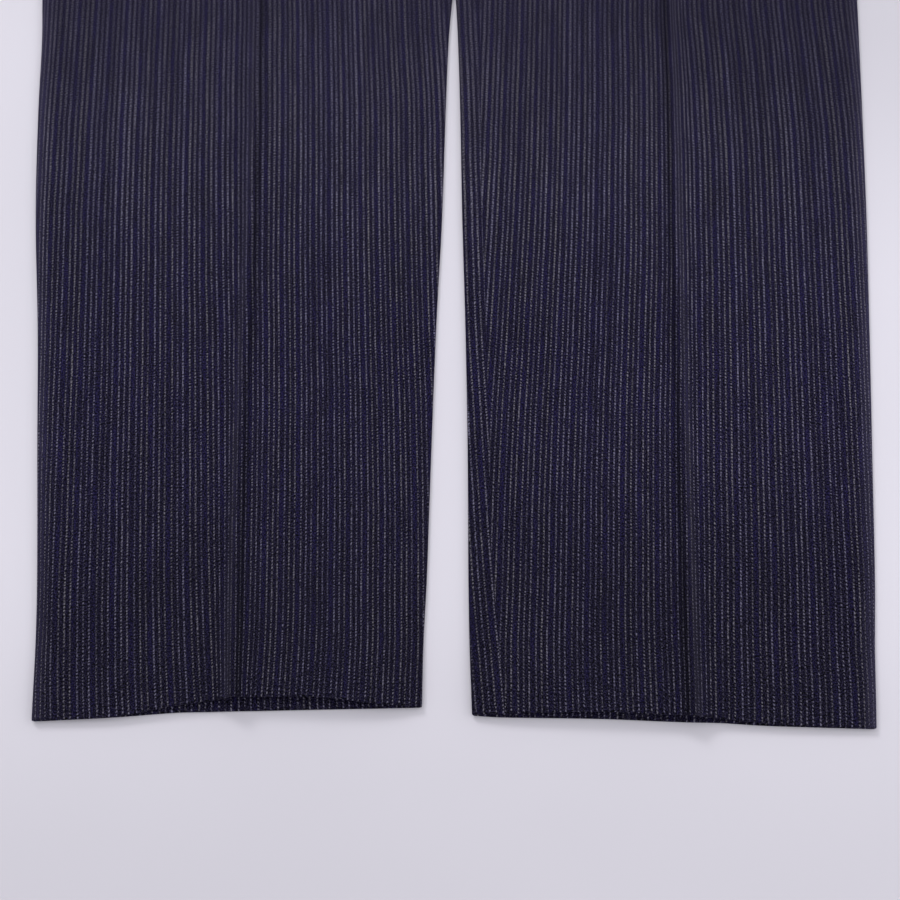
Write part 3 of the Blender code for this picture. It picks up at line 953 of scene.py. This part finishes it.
# ---- stitching
STITCH_PITCH = 0.0032
STITCH_LONG = 0.0023
STITCH_MIDDLE = 0.6  # the straight part's share of it
STITCH_END = 0.2  # and each end's
THREAD = 0.00042
THREAD_UP = 0.25  # its middle lies this much of it above the cloth
END_DROP = 0.00022  # the ends sink by this
END_SIZE = 0.55  # and shrink to this
ROW_STARTS = (0.0009, 0.0021)  # from the side seams to the first stitches
STITCH_SWAY = 0.02  # in radians
SWAY_STEP = 2.3


def stitch_shape():
    """One stitch: a short run of thread that sinks into the cloth at both ends."""
    select_only()
    bpy.ops.mesh.primitive_cylinder_add(vertices=8, radius=THREAD / 2,
                                        depth=STITCH_LONG * STITCH_MIDDLE,
                                        rotation=(0.0, math.pi / 2, 0.0))
    stitch = bpy.context.object
    bpy.ops.object.transform_apply(location=True, rotation=True, scale=True)
    for end in (-1, 1):
        bpy.ops.object.mode_set(mode="EDIT")
        bpy.ops.mesh.select_all(action="DESELECT")
        bpy.ops.object.mode_set(mode="OBJECT")
        for face in stitch.data.polygons:
            face.select = face.normal.x * end > 0.9
        bpy.ops.object.mode_set(mode="EDIT")
        bpy.ops.mesh.select_mode(type="FACE")
        move = (end * STITCH_LONG * STITCH_END, 0.0, -END_DROP)
        bpy.ops.mesh.extrude_region_move(TRANSFORM_OT_translate={"value": move})
        bpy.ops.transform.resize(value=(1.0, END_SIZE, END_SIZE))
        bpy.ops.object.mode_set(mode="OBJECT")
    in_order(stitch)
    stitch.data.shade_smooth()
    return stitch


def in_order(piece):
    """Sorts a piece's faces by their places, so that they come out the same each run."""
    shape = bmesh.new()
    shape.from_mesh(piece.data)
    places = {face: [round(c, 7) for c in face.calc_center_median()] for face in shape.faces}
    for i, face in enumerate(sorted(shape.faces, key=places.get)):
        face.index = i
    shape.faces.sort()
    shape.to_mesh(piece.data)
    shape.free()


def band_stitching(name, front, shape, material):
    """Two rows of stitching along one half of the waistband."""
    facing = 1 if front else -1
    width = BAND_TOP - WAIST_SEAM - SEAM_GAP
    path = band_path(front)
    along = lengths(path)
    level = BAND / 2 - ROW_DENT + THREAD * THREAD_UP
    stitches = []
    for row, start in zip((ROW_IN, width - ROW_IN), ROW_STARTS):
        count = int((along[-1] - 2 * start) / STITCH_PITCH)
        for k in range(count):
            s = start + STITCH_PITCH * (k + 0.5)
            i = max(j for j in range(len(along) - 1) if along[j] <= s)
            share = (s - along[i]) / (along[i + 1] - along[i])
            x, z, heading = (mix(a, b, share) for a, b in zip(path[i], path[i + 1]))
            x, z = off_path(x, z, heading, facing * level)
            stitch = placed(name, shape.data.copy())
            stitch.location = (x, band_y(x, front, WAIST_SEAM + SEAM_GAP + row), z)
            sway = STITCH_SWAY * math.sin(k * SWAY_STEP)
            stitch.rotation_euler = (0.0 if front else math.pi, -heading, sway)
            stitches.append(stitch)
    select_only(*stitches)
    bpy.ops.object.join()
    piece = bpy.context.object
    bpy.ops.object.transform_apply(location=True, rotation=True, scale=True)
    piece.name = name
    piece.data.materials.clear()
    piece.data.materials.append(material)
    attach(piece, "root")
    return piece


# ---- finishes
REPEAT = 0.0132  # three lines and their gaps
LINE_FIRST = 0.153  # places of the lines in the repeat
LINE_APART = 0.306
WIDE_GAP = 0.959  # middle of the repeat's widest gap
LINE_FULL = 0.00012  # half width at full strength
LINE_END = 0.00085  # and where it has faded out
LINE_SPREAD_ABOVE_KNEE = 0.00095  # which is this much further out above the knee
FACING_PAINTED_LIGHT = 1.55  # painted light: the turned-up facing, in shade inside the hem, is made this much lighter
DASH = 0.0026  # length of one turn of a line's rope
DASH_SLANT = 0.50
DASH_EDGE = (0.08, 0.34)  # from its middle to its faded end, in turns
THREADS = 760.0  # how fine the single threads are
FLECKS = 1020.0  # and the flecks of nap on them

# Looks that change up a leg: at the hem, more at the knee, and more again above it.  The last
# two rows paint light and shade: the cloth darker at the hem, and the right leg lighter at the
# knee and darker above it.
UP_TO_KNEE = (0.02, 0.26)
ABOVE_KNEE = (0.26, 0.62)
LINE_STRENGTH = (0.97, 0.17, -0.84)
BLUENESS = (0.14, 0.52, -0.32)
PAINTED_LIGHT_UP_LEG = (0.79, 0.17, -0.01)
PAINTED_LIGHT_RIGHT_LEG = (0.0, 0.07, -0.21)

BLACKISH = (0.0034, 0.0027, 0.0095, 1.0)
NAVY = (0.0054, 0.0040, 0.0255, 1.0)
LINE_LILAC = (0.1620, 0.1540, 0.2290, 1.0)
LINE_WARM = (0.1740, 0.1650, 0.1880, 1.0)
# Also the colour of the painted sheen above the knee.
NAP_AND_SHEEN = (0.1180, 0.1040, 0.2050, 1.0)
# The paler colour of the painted highlight on the side folds.
SIDE_HIGHLIGHT = (0.0480, 0.0440, 0.0800)
THREAD_COLOUR = (0.020, 0.018, 0.040)
FLOOR_COLOUR = (0.700, 0.682, 0.738)


class Finish:
    """One material and the nodes that it is made of."""

    def __init__(self, name):
        self.material = bpy.data.materials.new(name)
        self.material.use_nodes = True
        self.nodes = self.material.node_tree.nodes
        self.links = self.material.node_tree.links
        self.shader = self.nodes["Principled BSDF"]

    def feed(self, socket, value):
        if isinstance(value, bpy.types.NodeSocket):
            self.links.new(value, socket)
        else:
            socket.default_value = value

    def node(self, kind, *values, **settings):
        """A new node with its settings, fed in the order of its sockets."""
        made = self.nodes.new("ShaderNode" + kind)
        for name, setting in settings.items():
            setattr(made, name, setting)
        for socket, value in zip(made.inputs, values):
            self.feed(socket, value)
        return made

    def body(self):
        """Places on the piece itself."""
        return self.node("TexCoord").outputs["Object"]

    def math(self, operation, *values):
        return self.node("Math", *values, operation=operation).outputs[0]

    def add(self, a, b):
        return self.math("ADD", a, b)

    def less(self, a, b):
        return self.math("SUBTRACT", a, b)

    def times(self, a, b):
        return self.math("MULTIPLY", a, b)

    def fade(self, value, low, high, at_low, at_high):
        """A soft change from at_low to at_high as value goes from low to high."""
        return self.node("MapRange", value, low, high, at_low, at_high,
                         interpolation_type="SMOOTHSTEP").outputs[0]

    def at(self, x, y):
        return self.node("CombineXYZ", x, y, 0.0).outputs[0]

    def noise(self, place, scale, detail=2.0, rough=0.5):
        node = self.node("TexNoise")
        self.feed(node.inputs["Vector"], place)
        node.inputs["Scale"].default_value = scale
        node.inputs["Detail"].default_value = detail
        node.inputs["Roughness"].default_value = rough
        return node.outputs["Fac"]

    def attribute(self, name):
        return self.node("Attribute", attribute_name=name).outputs["Fac"]

    def chance(self, value):
        """The same chance number for the same value."""
        node = self.node("TexWhiteNoise", noise_dimensions="1D")
        self.feed(node.inputs["W"], value)
        return node.outputs["Value"]

    def blend(self, share, a, b):
        node = self.node("Mix", data_type="RGBA")
        self.feed(node.inputs["Factor"], share)
        self.feed(node.inputs["A"], a)
        self.feed(node.inputs["B"], b)
        return [out for out in node.outputs if out.type == "RGBA"][0]

    def scaled(self, colour, share):
        node = self.node("VectorMath", operation="SCALE")
        self.feed(node.inputs[0], colour)
        self.feed(node.inputs["Scale"], share)
        return node.outputs[0]

    def bump(self, height, strength, distance):
        node = self.node("Bump")
        node.inputs["Strength"].default_value = strength
        node.inputs["Distance"].default_value = distance
        self.feed(node.inputs["Height"], height)
        self.feed(self.shader.inputs["Normal"], node.outputs[0])


def striped_cloth(name):
    """Dark navy cloth with fine rope-like lines, three to a repeat."""
    f = Finish(name)
    measure = f.node("UVMap", uv_map="cloth").outputs[0]
    u, v = f.node("SeparateXYZ", measure).outputs[:2]
    body = f.body()

    # Where this place lies in the repeat, and how far off its line's middle.
    wander = f.noise(f.at(f.times(u, 0.6), v), 16.0, 1.0)
    u = f.add(u, f.times(f.less(wander, 0.5), 0.0012))
    turns = f.math("DIVIDE", u, REPEAT)
    r = f.math("FRACT", turns)
    second = f.math("GREATER_THAN", r, LINE_APART)
    third = f.math("GREATER_THAN", r, 2 * LINE_APART)
    step = f.add(second, third)
    line = f.add(f.times(f.math("FLOOR", turns), 3.0), step)
    middle = f.add(f.times(step, LINE_APART), LINE_FIRST)
    off = f.times(f.less(r, middle), REPEAT)
    knee = f.fade(v, *UP_TO_KNEE, 0.0, 1.0)
    # Above the knee the ground is lightened and the lines made fainter: a painted sheen.
    wear_and_sheen = f.fade(v, *ABOVE_KNEE, 0.0, 1.0)

    def by_height(at_hem, more_at_knee, more_above):
        """A value that changes from the hem to the knee, and again above it."""
        return f.add(f.times(wear_and_sheen, more_above), f.add(f.times(knee, more_at_knee), at_hem))

    def less_above(value, share):
        """A value that weakens by this share above the knee."""
        return f.times(value, f.add(f.times(wear_and_sheen, -share), 1.0))

    spread = f.add(f.times(wear_and_sheen, LINE_SPREAD_ABOVE_KNEE), LINE_END)
    profile = f.fade(f.math("ABSOLUTE", off), LINE_FULL, spread, 1.0, 0.0)

    # The rope of each line, its slanted dashes, and how strong it is.
    phase = f.chance(f.add(line, 0.37))
    slanted = f.add(f.add(v, f.times(off, DASH_SLANT)), f.times(phase, DASH))
    uneven = f.noise(f.at(f.times(line, 3.3), f.times(v, 120.0)), 1.0, 1.0)
    slanted = f.add(slanted, f.times(uneven, DASH * 1.5))
    saw = f.math("FRACT", f.math("DIVIDE", slanted, DASH))
    pulse = f.fade(f.math("ABSOLUTE", f.less(saw, 0.5)), *DASH_EDGE, 1.0, 0.0)
    grain = f.fade(f.noise(f.at(u, v), THREADS, 2.0, 0.75), 0.42, 0.58, 0.0, 1.0)
    # A painted sheen: above the knee the grain evens out and lightens the ground.
    grain = f.add(less_above(grain, 0.5), f.times(wear_and_sheen, 0.25))
    patch = f.noise(f.at(f.times(line, 5.7), f.times(v, 40.0)), 1.0, 1.0)
    contrast = less_above(f.fade(patch, 0.32, 0.66, 0.70, 1.0), 0.6)
    dash = f.less(1.0, f.times(contrast, f.less(1.0, pulse)))

    slow = f.fade(f.noise(f.at(f.times(line, 9.1), f.times(v, 18.0)), 1.0), 0.3, 0.7, 0.55, 1.15)
    bright = f.add(f.times(f.chance(f.add(line, 11.6)), 0.45), 0.55)
    strength = f.times(f.times(profile, dash), f.times(slow, bright))
    strength = f.times(strength, f.add(f.times(grain, 2.10), 0.02))
    strength = f.times(strength, by_height(*LINE_STRENGTH))
    strength = f.math("MINIMUM", strength, 1.0)
    fleck_and_sheen = f.fade(f.noise(f.at(u, v), FLECKS, 1.0), 0.50, 0.62, 0.0, 0.190)
    # Above the knee the nap colour spreads evenly: a painted sheen.
    fleck_and_sheen = f.add(less_above(fleck_and_sheen, 0.45), f.times(wear_and_sheen, 0.050))
    # The crease's look: above 0 the lines even out into a plain band, and below 0 it paints
    # shade.
    pressed = f.attribute("pressed")
    plain = f.math("MAXIMUM", pressed, 0.0)
    level = f.less(0.17, strength)
    strength = f.add(strength, f.times(plain, level))

    # The ground, navy in the gaps and blackish elsewhere, with a painted highlight on the side
    # folds.
    away = f.math("FRACT", f.less(r, WIDE_GAP - 0.5))
    away = f.times(f.math("ABSOLUTE", f.less(away, 0.5)), REPEAT)
    beside = f.fade(away, 0.0008, 0.0024, 0.75, 0.0)
    drift = f.noise(f.at(f.times(u, 160.0), f.times(v, 28.0)), 1.0, 2.0)
    blue = by_height(*BLUENESS)
    gap = f.times(f.add(beside, blue), f.fade(drift, 0.35, 0.65, 0.15, 1.0))
    ground = f.scaled(f.blend(gap, BLACKISH, NAVY), f.add(f.times(grain, 1.58), 0.02))
    side_highlight = f.times(f.attribute("side_highlight"), f.fade(drift, 0.3, 0.7, 0.60, 0.80))
    ground = f.blend(side_highlight, ground, f.scaled(SIDE_HIGHLIGHT, f.add(f.times(grain, 0.9), 0.55)))
    tint = f.chance(f.add(line, 5.2))
    lines = f.blend(tint, LINE_LILAC, LINE_WARM)
    colour = f.blend(fleck_and_sheen, f.blend(strength, ground, lines), NAP_AND_SHEEN)

    # Broad changes of tone, painted light and shade up the legs and on the right leg, painted
    # shade in the crease's hollow, and painted light on the turned-up facing.
    broad = f.noise(body, 9.0, 2.0)
    shade = f.times(f.fade(broad, 0.2, 0.8, 0.93, 1.07), by_height(*PAINTED_LIGHT_UP_LEG))
    # Painted light and shade on the right leg: lighter at the knee, darker above it.
    right = f.fade(f.node("SeparateXYZ", body).outputs[0], -0.05, 0.28, 0.0, 1.0)
    painted_shading = f.times(right, by_height(*PAINTED_LIGHT_RIGHT_LEG))
    shade = f.times(shade, f.add(painted_shading, 1.0))
    # Painted shade just inside the crease.
    crease_shade = f.math("MINIMUM", pressed, 0.0)
    shade = f.times(shade, f.add(f.times(crease_shade, 0.50), 1.0))
    # Painted light on the turned-up facing, which lies in shade inside the hem.
    shade = f.times(shade, f.fade(v, -0.0020, 0.0005, FACING_PAINTED_LIGHT, 1.0))
    f.feed(f.shader.inputs["Base Color"], f.scaled(colour, shade))
    f.bump(f.add(f.add(f.times(profile, 0.5), f.times(f.times(profile, pulse), 0.5)),
                 f.times(grain, 0.5)), 0.6, 0.00030)
    f.shader.inputs["Roughness"].default_value = 0.85
    f.shader.inputs["Specular IOR Level"].default_value = 0.05
    f.shader.inputs["Sheen Weight"].default_value = 0.13
    f.shader.inputs["Sheen Roughness"].default_value = 0.34
    f.shader.inputs["Sheen Tint"].default_value = (0.62, 0.58, 1.00, 1.0)
    return f.material


def sewing_thread(name):
    """Dark twisted thread."""
    f = Finish(name)
    body = f.body()
    twist = f.node("TexWave", bands_direction="DIAGONAL")
    twist.inputs["Scale"].default_value = 1400.0
    twist.inputs["Distortion"].default_value = 1.0
    f.feed(twist.inputs["Vector"], body)
    ply = twist.outputs["Fac"]
    wear_and_sheen = f.fade(f.noise(body, 60.0), 0.3, 0.7, 0.8, 1.2)
    shade = f.times(f.fade(ply, 0.0, 1.0, 0.7, 1.2), wear_and_sheen)
    f.feed(f.shader.inputs["Base Color"], f.scaled(THREAD_COLOUR, shade))
    f.bump(ply, 0.4, 0.0001)
    f.shader.inputs["Roughness"].default_value = 0.6
    return f.material


def studio_floor(name):
    """A pale sheet with painted shade: darker towards the hems, a little darker on the left, and
    darker on the right beside the upper garment.
    """
    f = Finish(name)
    body = f.body()
    x, y = f.node("SeparateXYZ", body).outputs[:2]
    # Painted shade: darker towards the hems, and on the right beside the upper garment; the left
    # a little darker throughout.
    near = f.fade(y, -0.62, -0.34, 0.865, 1.0)
    far_shade = f.times(f.fade(y, -0.16, 0.14, 0.045, -0.100), f.fade(y, 0.15, 0.80, 1.0, 0.0))
    right = f.fade(x, -0.10, 0.34, 0.0, 1.0)
    painted_shading = f.times(near, f.add(f.times(right, far_shade), 0.955))
    mottle_and_shade = f.times(f.fade(f.noise(body, 3.0, 3.0), 0.3, 0.7, 0.985, 1.015), painted_shading)
    f.feed(f.shader.inputs["Base Color"], f.scaled(FLOOR_COLOUR, mottle_and_shade))
    f.shader.inputs["Roughness"].default_value = 0.9
    f.shader.inputs["Specular IOR Level"].default_value = 0.2
    return f.material


# ---- the garment
def stations(*spans):
    """Heights of a panel's rows; each span is its top and the step up to there."""
    ups = [LOWEST_ROW]
    for top, step in spans:
        ups += evenly(ups[-1], top, step)[1:]
    return ups


FRONT_UPS = stations((HEM_TURN, 0.0025), (0.120, 0.004), (0.600, 0.0055),
                     (PLEAT_OPEN, 0.0035), (WAIST_SEAM, 0.005))
BACK_UPS = stations((HEM_TURN, 0.0032), (0.120, 0.008), (0.600, 0.012), (0.700, 0.004),
                    (WAIST_SEAM, 0.009))


def garment():
    cloths = {"front": striped_cloth("front leg cloth"), "back": striped_cloth("back leg cloth"),
              "band": striped_cloth("waistband cloth")}
    thread = sewing_thread("sewing thread")
    for side_name, side in (("left", LEFT), ("right", RIGHT)):
        panels = []
        for face, ups in (("back", BACK_UPS), ("front", FRONT_UPS)):
            name = f"{side_name}_{face}_cloth"
            rows = panel_spots(side, face == "front", ups)
            mesh = sheet_mesh(name, rows, (side == LEFT) == (face == "front"))
            panels.append(cloth_piece(name, mesh, cloths[face],
                                      f"{side_name}_{face}_leg", PLY))
        back, front = panels
    shape = stitch_shape()
    for face_name, front in (("back", False), ("front", True)):
        band = band_cloth(f"{face_name}_band_cloth", front, cloths["band"],
                          f"{face_name}_waistband")
        rows = band_stitching(f"{face_name}_band_stitching", front, shape, thread)
    bpy.data.objects.remove(shape, do_unlink=True)


# ---- floor, lights and camera
# Soft suns: where each comes from, its width in degrees and its power.
WINDOWS = (("left_window", (-0.52, 0.89, 0.82), 18.0, 0.98),
           ("right_window", (1.00, 0.10, 0.45), 50.0, 0.75),
           ("front_window", (0.25, -1.00, 0.62), 60.0, 0.45))
WINDOW_COLOUR = (1.0, 0.985, 1.0)
CEILING_LAMP_AT = (-0.15, -0.15, 2.1)
CEILING_LAMP_SIZE = 1.6
CEILING_LAMP_POWER = 8.0
AIR_COLOUR = (0.87, 0.87, 0.92, 1.0)
AIR_STRENGTH = 0.68
LENS = 64.0
SENSOR = 36.0
CAMERA_AT = (0.0, -0.76578, 1.04728)
CAMERA_TILT = math.radians(24.916)
FLOOR_SIZE = 60.0
FLOOR_LEVEL = -0.0003


def studio():
    scene = bpy.context.scene
    select_only()
    bpy.ops.mesh.primitive_plane_add(size=FLOOR_SIZE, location=(0.0, 0.0, FLOOR_LEVEL))
    floor = bpy.context.object
    floor.name = "studio_floor"
    floor.data.materials.append(studio_floor("studio floor"))
    for name, aim, width, power in WINDOWS:
        lamp = bpy.data.lights.new(name, "SUN")
        lamp.angle = math.radians(width)
        lamp.energy = power
        lamp.color = WINDOW_COLOUR
        holder = placed(name, lamp)
        holder.location = aim
        holder.rotation_euler = (math.atan2(math.hypot(aim[0], aim[1]), aim[2]), 0.0,
                                 math.atan2(aim[0], -aim[1]))
    ceiling = bpy.data.lights.new("ceiling_lamp", "AREA")
    ceiling.size = CEILING_LAMP_SIZE
    ceiling.energy = CEILING_LAMP_POWER
    placed("ceiling_lamp", ceiling).location = CEILING_LAMP_AT
    world = bpy.data.worlds.new("studio air")
    scene.world = world
    world.use_nodes = True
    air = world.node_tree.nodes["Background"]
    air.inputs["Color"].default_value = AIR_COLOUR
    air.inputs["Strength"].default_value = AIR_STRENGTH
    camera = bpy.data.cameras.new("camera")
    camera.lens = LENS
    camera.sensor_width = SENSOR
    camera.sensor_fit = "HORIZONTAL"
    eye = placed("camera", camera)
    eye.location = CAMERA_AT
    eye.rotation_euler = (CAMERA_TILT, 0.0, 0.0)
    scene.camera = eye
    scene.view_settings.view_transform = "Standard"


garment()
studio()
